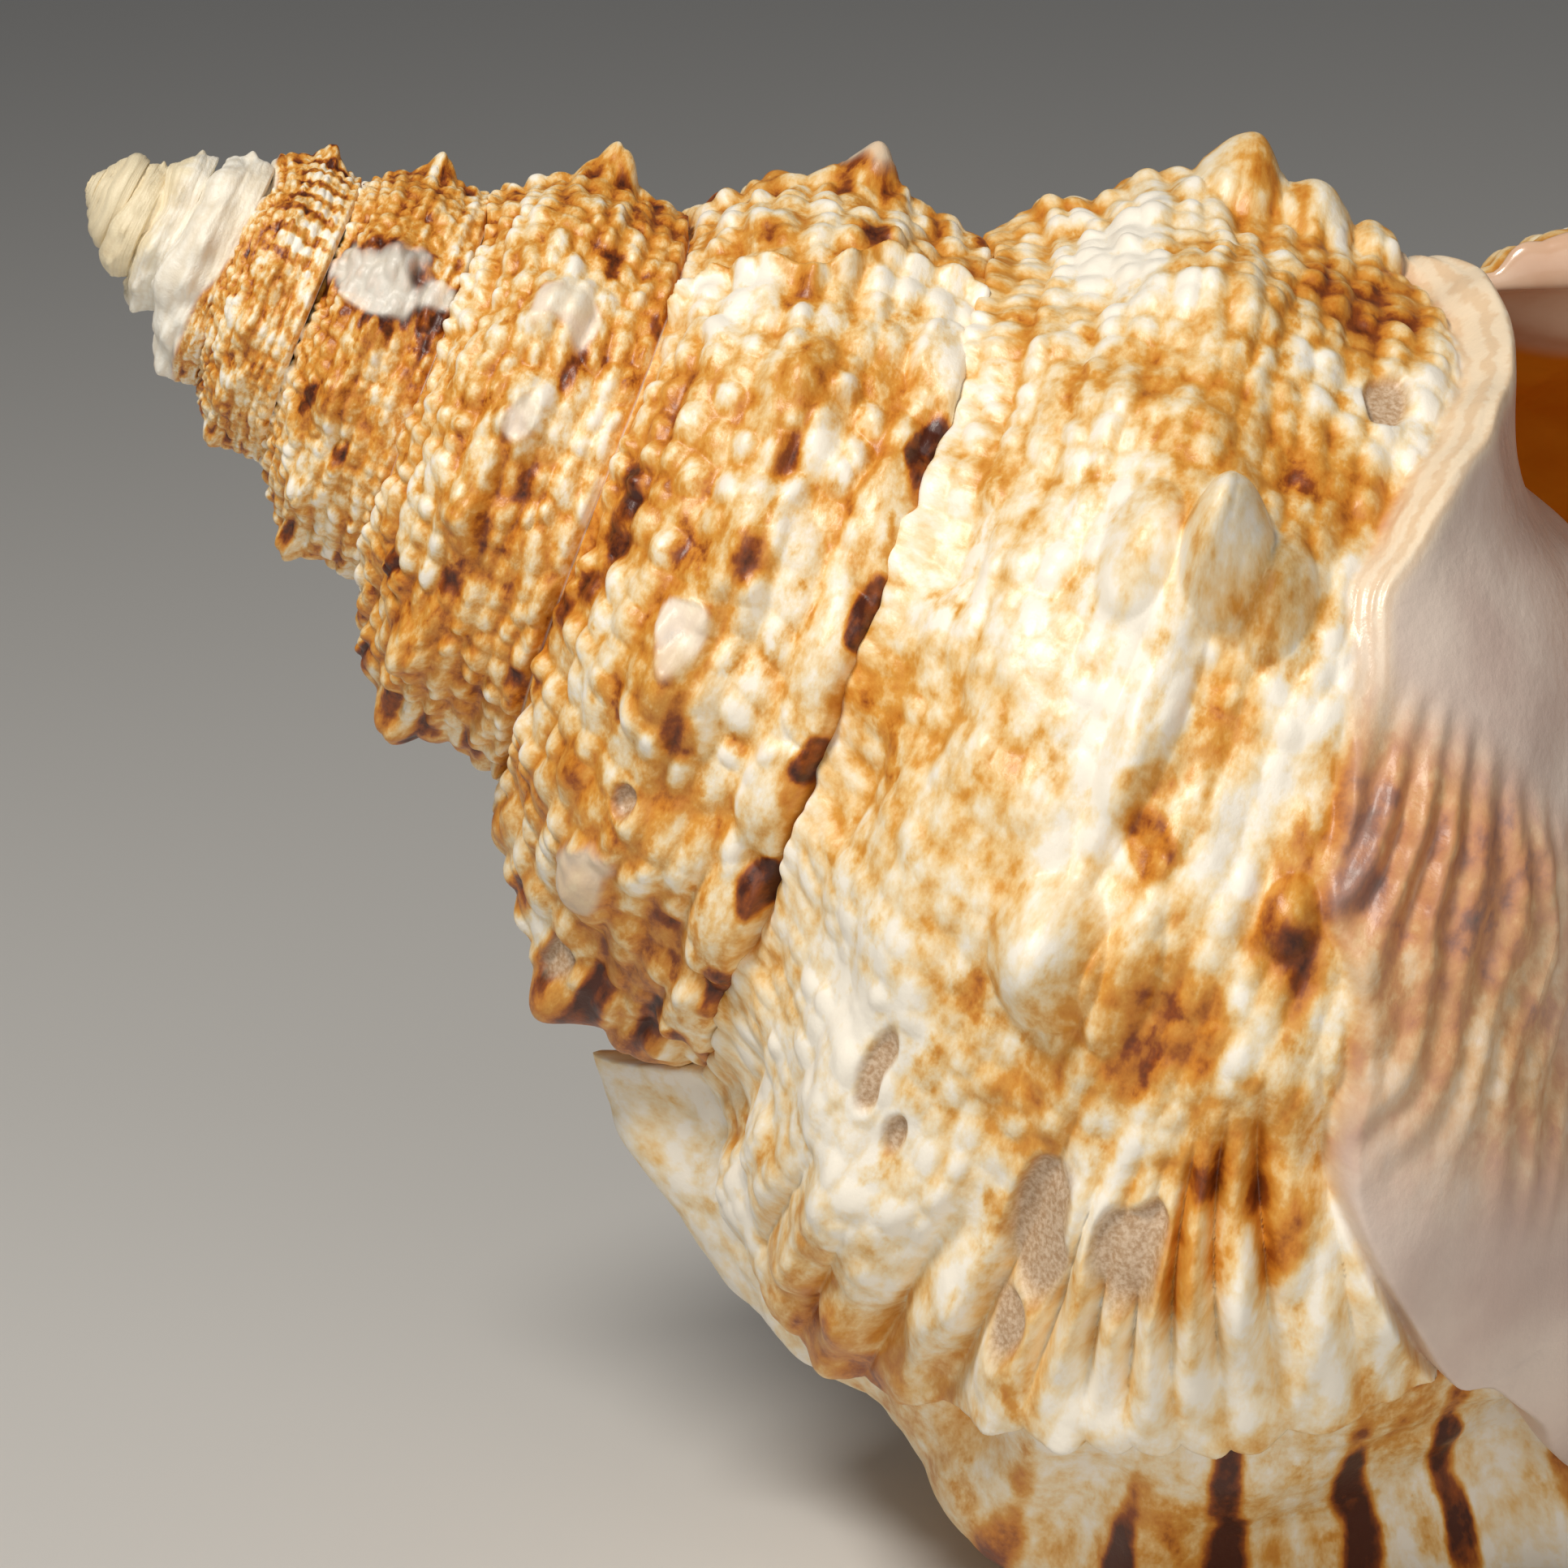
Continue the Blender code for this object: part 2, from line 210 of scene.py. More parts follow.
# Strong varix and the old lip behind it, at the lower left of the body whorl
FOLD_STEP = 0.128
FOLD_HEIGHT = 0.034
FOLD_LUMPS = 0.020
LAST_VARIX_HEIGHT = 0.070
OLD_LIP_HEIGHT = 0.110
OLD_LIP_RISE = 0.075
OVERHANG = 0.008             # in turns
CREST_PLACES = [0.0, .404, .623, .724, .875, 1.06, 1.195, 1.347, 1.60, 2.0, 2.7]
CREST_TURNS = [.482, .478, .463, .445, .412, .391, .382, .368, .350, .335, .325]
OLD_LIP_TURNS = [.534, .528, .516, .508, .500, .492, .488, .486, .484, .482, .480]


def fold_wave(turn, place):
    """Rounded folds side by side with narrow grooves between them, from 0 to 1."""
    crest = curve(place, CREST_PLACES, CREST_TURNS)
    slanted = place - 3.0 * ramp(place, 0.75, 1.10) * (turn - crest)
    phase = slanted / FOLD_STEP + 2.2 * ramp(slanted, 0.85, 1.35) + 0.9 * mottle(turn * 9, place * 3, 71)
    return np.abs(np.cos(math.pi * phase)) ** 0.8


def last_varix(turn, place):
    """The varix and the old lip's flared edge, in millimetres."""
    crest, edge = (curve(place, CREST_PLACES, turns) for turns in (CREST_TURNS, OLD_LIP_TURNS))
    side = (0.40 * ramp(place, 0.05, 0.30) + 0.60 * ramp(place, 0.70, 0.95)) * (1.0 - ramp(place, 1.7, 2.3))
    scallop = 0.003 * (fold_wave(turn, place) - 0.5)
    ridge = LAST_VARIX_HEIGHT * side * side_ridge(turn - crest - scallop, 0.055, 0.008)
    lip = OLD_LIP_HEIGHT * (1.0 - ramp(place, 1.9, 2.4)) * side_ridge(turn - edge, 0.028, 0.016)
    lip *= 0.80 + 0.20 * ramp(place, 0.9, 1.2) - 0.62 * bump(place - 0.55, 0.25)
    lip *= 0.9 + 0.2 * mottle(place * 12, turn * 0, 73)
    return (ridge + lip) * suture_height(turn)


def old_lip_share(turn, place):
    """The smooth flared side of the old lip, from the varix to its edge."""
    crest, edge = (curve(place, CREST_PLACES, turns) for turns in (CREST_TURNS, OLD_LIP_TURNS))
    past_crest = ramp(turn, crest + 0.012, crest + 0.025)
    return past_crest * (1.0 - ramp(turn, edge + 0.01, edge + 0.03)) * (turn > 0.3)


def varix_folds(turn, place):
    """Rounded folds that run up to the strong varix, and the share of the surface that they take."""
    crest = curve(place, CREST_PLACES, CREST_TURNS)
    long = 0.100 + 0.02 * np.cos(place * 17.0)
    on = ramp(turn, crest - long, crest - 0.3 * long)
    on = on * ramp(place, 0.25, 0.42) * (1.0 - ramp(place, 1.40, 1.55))
    on = on * (1.0 - ramp(turn, crest + 0.006, crest + 0.014))
    joined = 1.0 - 0.80 * ramp(turn, crest - 0.030, crest - 0.004)
    uneven = (1.0 + 0.6 * bump(place - 0.56, 0.10)) * (0.6 + 0.8 * mottle(place * 8, turn * 3, 75))
    large = FOLD_HEIGHT * suture_height(turn) * uneven
    lumps = FOLD_LUMPS * suture_height(turn) * (mottle(turn * 55, place * 14, 77) - 0.5)
    return (large * joined * (fold_wave(turn, place) - 0.55) + lumps) * on, on


def overhang(turn, place):
    """How far the strong varix leans over along the coil, in turns."""
    crest = curve(place, CREST_PLACES, CREST_TURNS)
    side = ramp(place, 0.40, 0.60) * (1.0 - ramp(place, 1.6, 1.9))
    return OVERHANG * side * side_ridge(turn - crest, 0.030, 0.008)


# Where the inner lip's glaze ends on the body whorl, and how it stands up there
GLAZE_EDGE_TURNS = [-1.0, -.01, .0, .027, .055, .096, .127, .166, .186, .207, .239, .259, .273, .291,
                    .322, .345, .377, .443, .48]
GLAZE_EDGE_PLACES = [.90, .90, .86, .858, .925, .965, .935, .880, .858, .909, .976, 1.01, 1.094, 1.145,
                     1.212, 1.397, 1.633, 1.852, 2.0]
COLLAR_HEIGHT = 0.072
COLLAR_CREST = 0.085         # places from the glaze's edge
CREST_ROUNDING = 0.015
SHELF_HEIGHT = 0.085
SCOOP_DEPTH = 0.075
GLAZE_THICKNESS = 0.008
LAYER_HEIGHT = 0.10          # millimetres, as the next two
LAYER_STEP = 0.9
THIN_GLAZE_RIDGES = 0.7


def glaze_edge(turn):
    """Place where the glaze begins, with a slightly ragged edge."""
    return curve(turn, GLAZE_EDGE_TURNS, GLAZE_EDGE_PLACES) + 0.02 * (mottle(turn * 70, turn * 0, 5) - 0.5)


def glaze_amount(turn, place):
    """Share of the inner lip's glaze over the body whorl."""
    return ramp(place - glaze_edge(turn), 0.0, 0.04) * (1.0 - ramp(turn, 0.455, 0.475))


def thin_glaze(turn, place):
    """Where the glaze is so thin that the brown cords below show through it."""
    beyond = place - glaze_edge(turn)
    along = ramp(turn, 0.195, 0.225) * (1.0 - ramp(turn, 0.275, 0.325))
    return along * ramp(beyond, -0.02, 0.02) * (1.0 - ramp(beyond, 0.40, 0.85))


def glaze_relief(turn, place):
    """The glaze stands up as a layered collar by the aperture's upper corner, and as a free shelf below."""
    size = suture_height(turn)
    beyond = place - glaze_edge(turn)
    by_corner = ramp(turn, -0.01, 0.05) * (1.0 - ramp(turn, 0.15, 0.22))
    collar = COLLAR_HEIGHT * by_corner * (0.6 + 0.5 * bump(turn - 0.06, 0.06))
    crest = beyond - COLLAR_CREST
    fall = (np.hypot(crest, CREST_ROUNDING) - CREST_ROUNDING) / np.where(crest < 0, 0.050, 0.075)
    rim = collar * np.exp(-fall) * ramp(beyond, 0.0, 0.06)
    free = ramp(turn, 0.24, 0.38) * (1.0 - ramp(place, 2.0, 2.5)) * (1.0 - ramp(turn, 0.44, 0.48))
    shelf = SHELF_HEIGHT * free * ramp(beyond, 0.0, 0.06)
    scoop = SCOOP_DEPTH * bump(turn - 0.04, 0.09) * bump(place - 1.30, 0.25)
    film = GLAZE_THICKNESS * ramp(beyond, 0.0, 0.03)
    rings = beyond * ARC * size / LAYER_STEP + 1.6 * mottle(turn * 30, beyond * 12, 85)
    layers = LAYER_HEIGHT * np.cos(math.tau * rings) * ramp(beyond, 0.0, 0.01)
    layers *= (1.0 - ramp(beyond, 0.07, 0.10)) * ramp(collar, 0.0, 0.03)
    rows = place / 0.085 + 2.2 * mottle(turn * 25, place * 4, 79)
    ridges = THIN_GLAZE_RIDGES * thin_glaze(turn, place) * (0.5 + 0.5 * np.cos(math.tau * rows))
    layers = layers + ridges * (0.5 + mottle(turn * 60, place * 9, 81))
    return (rim + shelf + film - scoop) * size + layers


def beads(along, across, seed):
    """Rows of uneven beads, one row to the unit across and one bead to the unit along, from 0 to 1."""
    dice = np.random.default_rng(seed).random((4, 97, 89))
    out = np.zeros_like(along)
    for step in (-1, 0, 1):
        for side in (-1, 0, 1):
            column, row = np.floor(along).astype(int) + step, np.floor(across).astype(int) + side
            shift, sway, large, tall = dice[:, column % 97, row % 89]
            x = (along - column - 0.5 - 0.5 * (shift - 0.5)) / (0.42 + 0.30 * large)
            y = (across - row - 0.5 - 0.3 * (sway - 0.5)) / (0.34 + 0.22 * large)
            out = np.maximum(out, (0.45 + 0.55 * tall) * np.exp(-(x * x + y * y) ** 1.3))
    return out


def cords(turn, place):
    """Beaded spiral cords: bead height from 0 to 1. More cords set in where the body whorl begins."""
    warp = 0.8 * (mottle(turn * 30.0, place * 6.0, 3) - 0.5)
    spire = 0.95 * beads(turn * 62.0 + 0.3 * place + warp, place * 10.0 + 0.5 * warp, 7)
    spire += 0.65 * beads(turn * 32.0 - 0.3 * place + 0.4 * warp, place * 5.2 + 0.6 * warp, 8)
    body = 0.80 * beads(turn * 98.0 + warp, place * 15.5 + 0.6 * warp, 9)
    body += 0.55 * beads(turn * 48.0 + 0.3 * warp, place * 7.5 + 0.5 * warp, 10)
    share = ramp(turn, -0.06, 0.03)
    return np.clip(spire * (1.0 - share) + body * share, 0.0, 1.6)


# Spots on the skin: turn, place, half width in turns, half width in places. Scars are rough, where
# something once grew on the shell, and worn spots are white.
SCARS = [
    (.366, .791, .0165, .072), (.355, .943, .0125, .070), (.394, .808, .009, .045), (.361, .404, .012, .030),
    (.373, .488, .008, .030), (.120, .850, .012, .045), (-.638, .522, .007, .035), (-.525, .488, .010, .05),
]
SCAR_DEPTH = 0.35            # millimetres
APEX_WORN = 12.3             # millimetres below the apex
WORN_SPOTS = [
    (-.705, .522, .013, .07), (-.594, .505, .018, .06), (-1.825, .60, .020, .10), (-1.755, .60, .012, .06),
    (-2.80, .53, .025, .30), (-.99, .58, .013, .06),
]
# Edge of a lip that stood on the penultimate whorl: places, and the turns there
OLD_LIP_LINE = ([0.0, .15, .47, .64, .89, 1.0], [-.846, -.874, -.870, -.897, -.906, -.894])


def patch(turn, place, spot, rough):
    """1 inside a spot and 0 outside, with a ragged edge."""
    at, level, long, wide = spot
    reach = np.hypot((turn - at) / long, (place - level) / wide) + 0.7 * (rough - 0.5)
    return 1.0 - ramp(reach, 0.7, 1.15)


def scars(turn, place):
    """Share of the surface that scars take."""
    rough = mottle(COIL * GROWTH ** turn / 2.4, place * ARC * suture_height(turn) / 2.2, 12)
    return np.max([patch(turn, place, spot, rough) for spot in SCARS], axis=0)


def worn(turn, place):
    """Where the surface is worn to white: the apex, some knobs and old spots."""
    rough = mottle(COIL * GROWTH ** turn / 2.2, place * ARC * suture_height(turn) / 2.0, 11)
    height = whorl_section(turn, place)[1]
    out = 1.0 - ramp(height + 3.0 * (rough - 0.5), APEX_WORN - 0.3, APEX_WORN + 0.3)
    spots = np.max([patch(turn, place, spot, 0.2 + 2.2 * (rough - 0.5)) for spot in WORN_SPOTS], axis=0)
    return np.maximum(out, 0.75 * spots)


# Colour spots. The dark ones have one size, and the others their half widths.
DARK_SPOTS = [
    (-2.80, .12), (-2.78, .20), (-2.79, .93), (-2.765, .90), (-2.825, .16), (-2.84, .90), (-2.755, .50),
    (-2.76, .34), (-.784, .572), (-.745, .62), (-.676, .60), (-.697, .118), (-.72, .151), (-.742, .151),
    (-.673, .067), (-1.724, .70), (-1.788, .70), (-1.865, .68), (-2.774, .084), (-2.811, .522),
    (-2.815, .976), (-2.768, .64), (-2.67, .337), (-2.644, .656), (-1.622, .269), (-1.65, .539),
    (-1.617, .926), (-1.497, .623), (-.895, .30), (-.86, .45), (-.91, .62), (-.63, .35), (-.60, .72),
    (.273, 1.027), (.300, .93), (.335, 1.16),
]
SUTURE_SPOTS = [
    (-.812, .95, .016, .06), (-.747, .95, .017, .07), (-.693, .95, .013, .06), (-.642, .95, .014, .06),
    (-.585, .95, .012, .06), (-.542, .85, .012, .08),
]
GOLDEN_SPOTS = [
    (.075, .80, .045, .14), (.045, .60, .016, .10), (.160, .80, .030, .10), (.215, .80, .030, .14),
    (.255, .70, .022, .09), (.267, 1.02, .030, .10), (.317, 1.044, .025, .10), (.30, .84, .022, .07),
    (.243, .98, .03, .10), (.258, .66, .010, .05), (.268, .71, .008, .05),
]
# Dark surround of the long white spot on an early whorl
BAR_FRAME = (-2.80, .53, .037, .46)
WHITE_AREAS = [
    (.250, .62, .035, .13), (.222, .60, .030, .06), (.365, .36, .035, .13),
    (.200, .62, .022, .13), (.303, .62, .016, .08), (.10, .25, .05, .10),
]


def tint(turn, place, smooth):
    """Colour from white at 0 through cream and gold to dark brown at 1."""
    broad = mottle(turn * 13.0, place * 3.2, 41)
    rough = mottle(turn * 100.0, place * 19.0, 23)
    patchy = mottle(turn * 26.0, place * 7.0, 45)
    out = 0.11 + 0.26 * broad + 0.36 * patchy
    out = out - 0.13 * ramp(turn, -0.03, 0.05) + 0.05 * ramp(-turn, 0.05, 0.60)

    # The body whorl's near side is paler, and so are knobs, pads and the band behind the old lip
    near = ramp(turn, 0.14, 0.26) * (1.0 - ramp(turn, 0.46, 0.60))
    out = out - 0.12 * near * (1.0 - 0.5 * ramp(place, 0.9, 1.2))
    for spot in GOLDEN_SPOTS:
        out = out + 0.19 * patch(turn, place, spot, rough)
    line = turn - np.interp(place, *OLD_LIP_LINE)
    out = out - 0.22 * ramp(line, -0.004, 0.004) * (1.0 - ramp(line, 0.03, 0.08)) * (turn < 0)
    out = out - 0.12 * smooth
    for spot in WHITE_AREAS:
        out = out - 0.17 * patch(turn, place, spot, rough)
    for at, level, _, long, wide in SUTURE_PADS:
        out = out - 0.30 * bump(turn - at, long) * bump(place - level, wide)

    # Brown spots
    for at, level in DARK_SPOTS:
        reach = np.hypot((turn - at) / (0.012 + 0.004 * (at < -1)), (place - level) / 0.050) + rough - 0.5
        out = out + 0.42 * (1.0 - ramp(reach, 0.2, 1.4))
    for spot in SUTURE_SPOTS:
        out = out + 0.55 * patch(turn, place, spot, 0.5 + 1.3 * (rough - 0.5) + 0.8 * (broad - 0.5))
    out = out + 0.45 * patch(turn, place, BAR_FRAME, rough)

    # Stripes across each old lip, and a comb of fine ones on an early whorl
    for crest in VARIX_TURNS[:-1]:
        on = bump(turn - crest + 0.024, 0.016) + 0.8 * bump(turn - crest - 0.018, 0.008)
        stripes = 0.5 + 0.5 * np.cos(math.tau * (place * 6.0 + 0.3 * broad))
        out = out + 0.36 * on * ramp(stripes, 0.3, 0.8) - 0.20 * on * (1.0 - ramp(stripes, 0.2, 0.5))
    comb = ramp(turn, -4.05, -4.0) * (1.0 - ramp(turn, -3.80, -3.74))
    comb = comb * ramp(place, 0.25, 0.45) * (1.0 - ramp(place, 0.85, 0.98))
    teeth = 0.5 + 0.5 * np.cos(math.tau * (turn / 0.028 + 0.35 * rough))
    out = out + comb * (0.42 * ramp(teeth, 0.4, 0.8) - 0.12)

    # Dark stripes on the last old lip, brown cords under the thin glaze, and gold with painted shade between
    # the folds
    behind = turn - curve(place, CREST_PLACES, CREST_TURNS) - 0.022
    stripes = np.cos(math.tau * (place / 0.20 + 0.9 * mottle(place * 4, turn * 8, 83)))
    stripes = stripes + 0.7 * (rough - 0.5 - mottle(place * 5, turn * 0, 89) + ramp(behind, 0.0, 0.07))
    on = ramp(behind, 0.0, 0.02) * (1.0 - ramp(behind, 0.09, 0.14)) * ramp(place, 0.75, 0.95)
    out = out + (0.60 + 0.15 * ramp(place, 1.0, 1.3)) * on * ramp(stripes, 0.66, 1.40)
    out = out + 0.16 * thin_glaze(turn, place) * ramp(mottle(turn * 22, place * 14, 87), 0.35, 0.8)
    fold_share = varix_folds(turn, place)[1]
    out = out + 0.08 * fold_share - 0.05 * old_lip_share(turn, place)
    # The grooves between the folds are made darker gold: partly the shell's own gold, partly painted shade
    # in the recesses.
    groove_gold_and_shade = fold_share * (1.0 - ramp(fold_wave(turn, place), 0.3, 0.85))
    out = out + 0.18 * groove_gold_and_shade * (0.4 + 0.6 * ramp(broad, 0.2, 0.5))
    return np.clip(out, 0.0, 1.0)


LIP_FLARE = 0.110
# Heights in millimetres, and the suture height at which each has grown to its full size
BEAD_HEIGHT, BEAD_GROWN = 1.0, 34.0
WAVE_HEIGHT, CREASE_HEIGHT, WAVE_GROWN = 2.0, 0.8, 60.0
PIMPLE_HEIGHT = 0.30
PIT_HEIGHT, PIT_GROWN = 1.0, 16.0
FIRST_WHORL_WAVES = 1.8
NODULE_HEIGHT, NODULE_GROWN = 0.7, 12.0
WORN_EDGE_HEIGHT, WORN_EDGE_GROWN = 1.4, 40.0
OLD_LIP_LINE_HEIGHT = 1.0
SUTURE_EDGE_HEIGHT = 0.6


def lip_flare(turn, place):
    """How far the outer lip turns outwards, in millimetres."""
    side = ramp(place, 0.50, 1.00) * (1.0 - ramp(place, 1.9, 2.4))
    return LIP_FLARE * ramp(turn, 0.955, 1.0) * side * suture_height(turn)


def uneven_surface(turn, place, height, glaze, worn_share, clear):
    """Waves, pimples, pits and the lumps of the first whorls, in millimetres."""
    size = suture_height(turn)
    along, arc = COIL * GROWTH ** turn, place * ARC * size
    grown = np.minimum(size / WAVE_GROWN, 1.0)
    out = WAVE_HEIGHT * grown * (mottle(along / 7.0, arc / 5.0, 31) - 0.5) * (1.0 - 0.7 * glaze)
    out = out + CREASE_HEIGHT * grown * (mottle(along / 3.5, arc / 9.0, 32) - 0.5) * (1.0 - glaze)
    pimples = (mottle(along / 1.6, arc / 1.3, 37) - 0.5) * (1.0 - 0.8 * glaze)
    out = out + PIMPLE_HEIGHT * pimples * (0.3 + 0.7 * clear)
    pits = (mottle(along / 1.3, arc / 1.2, 53) - 0.5) * worn_share
    out = out + PIT_HEIGHT * np.minimum(size / PIT_GROWN, 1.0) * pits
    lumps = (mottle(turn * 9.0, height / 2.4, 55) - 0.5) * ramp(height, 0.3, 3.0)
    out = out + FIRST_WHORL_WAVES * ramp(-turn, 3.6, 4.1) * lumps
    nodules = beads(turn * 11.0, place * 1.8 + 0.4 * np.floor(turn), 15) * ramp(height, 1.0, 4.0)
    out = out + NODULE_HEIGHT * ramp(-turn, 3.5, 3.9) * np.minimum(size / NODULE_GROWN, 1.0) * nodules
    worn_edge = worn_share * (1.0 - worn_share) * ramp(turn, -3.5, -3.3)
    return out + WORN_EDGE_HEIGHT * np.minimum(size / WORN_EDGE_GROWN, 1.0) * worn_edge


def skin(turn, place):
    """Points of the outside in millimetres, with the masks that its finish reads."""
    size = suture_height(turn)
    radius, height, out_r, out_h = whorl_section(turn, place)
    worn_share, scar = worn(turn, place), scars(turn, place)
    glaze = glaze_amount(turn, place) * np.where(turn < 0.0, (place > 0.99) * 1.0, 1.0)
    thin = thin_glaze(turn, place)
    beyond = place - glaze_edge(turn)
    knob = knobs(turn, place)
    fold, fold_share = varix_folds(turn, place)
    fold, fold_share = fold * (1.0 - glaze) * (1.0 - 0.8 * scar), fold_share * (1.0 - glaze)

    # Beads, which the knobs, folds, scars, worn spots and the glaze make smoother
    smooth = ramp(knob / size, 0.022, 0.050) * ramp(turn, -1.2, -0.9)
    smooth = np.maximum(np.maximum(smooth, 0.45 * fold_share), 0.8 * old_lip_share(turn, place))
    rubbed = (0.25 + 0.45 * ramp(-turn, 3.4, 3.8)) * worn_share
    near = ramp(turn, 0.12, 0.25) * (1.0 - ramp(turn, 0.50, 0.60))
    clear = (1.0 - rubbed) * (1.0 - scar) * (1.0 - glaze * (1.0 - 0.8 * thin))
    clear = clear * (1.0 - 0.9 * smooth) * (1.0 - 0.38 * near)
    bead = cords(turn, place) * clear
    strength = 1.0 + 0.35 * ramp(turn, -0.03, 0.05) * (mottle(turn * 17.0, place * 4.0, 33) - 0.7)

    relief = varices(turn, place) + last_varix(turn, place) * (1.0 - 0.9 * glaze) + fold
    relief = relief + glaze_relief(turn, place) * glaze
    relief = relief + BEAD_HEIGHT * strength * np.minimum(size / BEAD_GROWN, 1.0) * bead - SCAR_DEPTH * scar
    relief = relief + uneven_surface(turn, place, height, glaze, worn_share, clear)
    relief = relief + lip_flare(turn, place)
    line = turn - np.interp(place, *OLD_LIP_LINE)
    relief = relief + OLD_LIP_LINE_HEIGHT * side_ridge(line, 0.0035, 0.006) * (turn < 0.0)

    # The relief dies away at both sutures, where the next whorl is grown onto this one
    on_body = ramp(turn, 0.0, 0.03)
    closed = ramp(place, 0.0, 0.035)
    closed = closed * (1.0 - ramp(place, 0.95, 0.999) * (1.0 - on_body) * (place <= 1.0))
    edge = (1.0 - ramp(place, 0.0, 0.12)) * on_body
    relief = (relief + SUTURE_EDGE_HEIGHT * edge) * closed
    radius = radius + out_r * relief + knob * closed
    height_here = height + out_h * relief - 0.25 * knob * closed
    lip_top = side_ridge(turn - OLD_LIP_TURNS[0], 0.022, 0.016) * (1.0 - ramp(place, 0.05, 0.32)) * closed
    height_here = height_here - OLD_LIP_RISE * size * lip_top
    along = COIL * GROWTH ** turn
    ragged = 1.6 * mottle(along / 5.0, place * 0, 61) + 0.5 * mottle(along / 1.7, place * 0, 62)
    height_here = height_here - edge * ragged
    around = math.tau * (turn + overhang(turn, place))
    points = np.stack((radius * np.cos(around), radius * np.sin(around), height_here), axis=-1)
    masks = {
        "tint": tint(turn, place, smooth), "bead": bead, "thin": thin, "worn": worn_share,
        "scar": scar, "glaze": glaze, "beyond": beyond * ARC * size, "height": height_here,
        "rim": glaze * (1.0 - ramp(beyond, 0.075, 0.12)) * (1.0 - ramp(turn, 0.16, 0.24)),
    }
    return points, masks


def into_pose(points):
    """Millimetres round the axis to metres in the resting pose."""
    matrix = np.array(resting)
    return points * MM @ matrix[:3, :3].T + matrix[:3, 3]


def ribbon(name, turn_stops, columns, place_stops, rows, form, material):
    """One piece of the coil: a grid whose columns are shared out between the turn stops and whose rows
    between the place stops, laid over the shell by form."""
    sheet = bmesh.new()
    bmesh.ops.create_grid(sheet, x_segments=sum(columns), y_segments=sum(rows), size=0.5)
    mesh = bpy.data.meshes.new(name)
    sheet.to_mesh(mesh)
    sheet.free()
    flat = np.empty(len(mesh.vertices) * 3)
    mesh.vertices.foreach_get("co", flat)
    column, row = np.round((flat[0::3] + 0.5) * sum(columns)), np.round((flat[1::3] + 0.5) * sum(rows))
    turn = np.interp(column, np.cumsum((0,) + columns), turn_stops)
    place = np.interp(row, np.cumsum((0,) + rows), place_stops)
    points, masks = form(turn, place)
    world = into_pose(points)
    world[:, 2] = np.maximum(world[:, 2], 0.0)
    mesh.vertices.foreach_set("co", world.ravel())
    for key, values in masks.items():
        mesh.attributes.new(key, "FLOAT", "POINT").data.foreach_set("value", values.astype(np.float32))
    corners = np.empty(len(mesh.loops), dtype=np.int32)
    mesh.loops.foreach_get("vertex_index", corners)
    coil = np.stack((turn * COIL_MAP_LENGTH, place * COIL_MAP_WIDTH), axis=-1)[corners]
    mesh.uv_layers.new(name="coil").data.foreach_set("uv", coil.astype(np.float32).ravel())
    mesh.shade_smooth()
    mesh.materials.append(material)
    piece = bpy.data.objects.new(name, mesh)
    bpy.context.scene.collection.objects.link(piece)
    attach(piece, "root")
    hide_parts("shell")


def rgb(red, green, blue):
    """sRGB from 0 to 255 as a linear colour."""
    return tuple(((c / 255 + 0.055) / 1.055) ** 2.4 for c in (red, green, blue)) + (1.0,)


def node(tree, kind, **values):
    """New node with its settings."""
    made = tree.nodes.new(kind)
    for key, value in values.items():
        setattr(made, key, value)
    return made


def mix(tree, share, first, second, blend="MIX"):
    """Colour mix; share, first and second are sockets or values."""
    made = node(tree, "ShaderNodeMix", data_type="RGBA", blend_type=blend)
    for socket, value in ((made.inputs[0], share), (made.inputs[6], first), (made.inputs[7], second)):
        if isinstance(value, bpy.types.NodeSocket):
            tree.links.new(value, socket)
        else:
            socket.default_value = value
    return made.outputs[2]


def remap(tree, value, low, high, out_low=0.0, out_high=1.0):
    """Smooth step of a socket, from out_low at low to out_high at high."""
    made = node(tree, "ShaderNodeMapRange", interpolation_type="SMOOTHSTEP")
    tree.links.new(value, made.inputs["Value"])
    made.inputs["From Min"].default_value = low
    made.inputs["From Max"].default_value = high
    made.inputs["To Min"].default_value = out_low
    made.inputs["To Max"].default_value = out_high
    return made.outputs[0]


def math_node(tree, operation, first, second):
    """One sum; first and second are sockets or values."""
    made = node(tree, "ShaderNodeMath", operation=operation)
    for socket, value in zip(made.inputs, (first, second)):
        if isinstance(value, bpy.types.NodeSocket):
            tree.links.new(value, socket)
        else:
            socket.default_value = value
    return made.outputs[0]


def total(tree, *terms):
    """Sum of sockets, each times its weight."""
    out = None
    for socket, weight in terms:
        part = math_node(tree, "MULTIPLY", socket, weight)
        out = part if out is None else math_node(tree, "ADD", out, part)
    return out


def coil_noise(tree, cells, detail):
    """Noise that follows the coil: cells to the map's unit along the coil and across it."""
    made = node(tree, "ShaderNodeTexNoise")
    made.inputs["Scale"].default_value = 1.0
    made.inputs["Detail"].default_value = detail
    made.inputs["Roughness"].default_value = 0.6
    place = node(tree, "ShaderNodeMapping")
    place.inputs["Scale"].default_value = (cells[0], cells[1], 1.0)
    tree.links.new(node(tree, "ShaderNodeUVMap", uv_map="coil").outputs["UV"], place.inputs["Vector"])
    tree.links.new(place.outputs["Vector"], made.inputs["Vector"])
    return made.outputs["Fac"]


def noise(tree, scale, detail=4.0, roughness=0.55):
    """Noise on object coordinates; scale is in cells per metre."""
    made = node(tree, "ShaderNodeTexNoise")
    made.inputs["Scale"].default_value = scale
    made.inputs["Detail"].default_value = detail
    made.inputs["Roughness"].default_value = roughness
    place = node(tree, "ShaderNodeTexCoord").outputs["Object"]
    tree.links.new(place, made.inputs["Vector"])
    return made.outputs["Fac"]


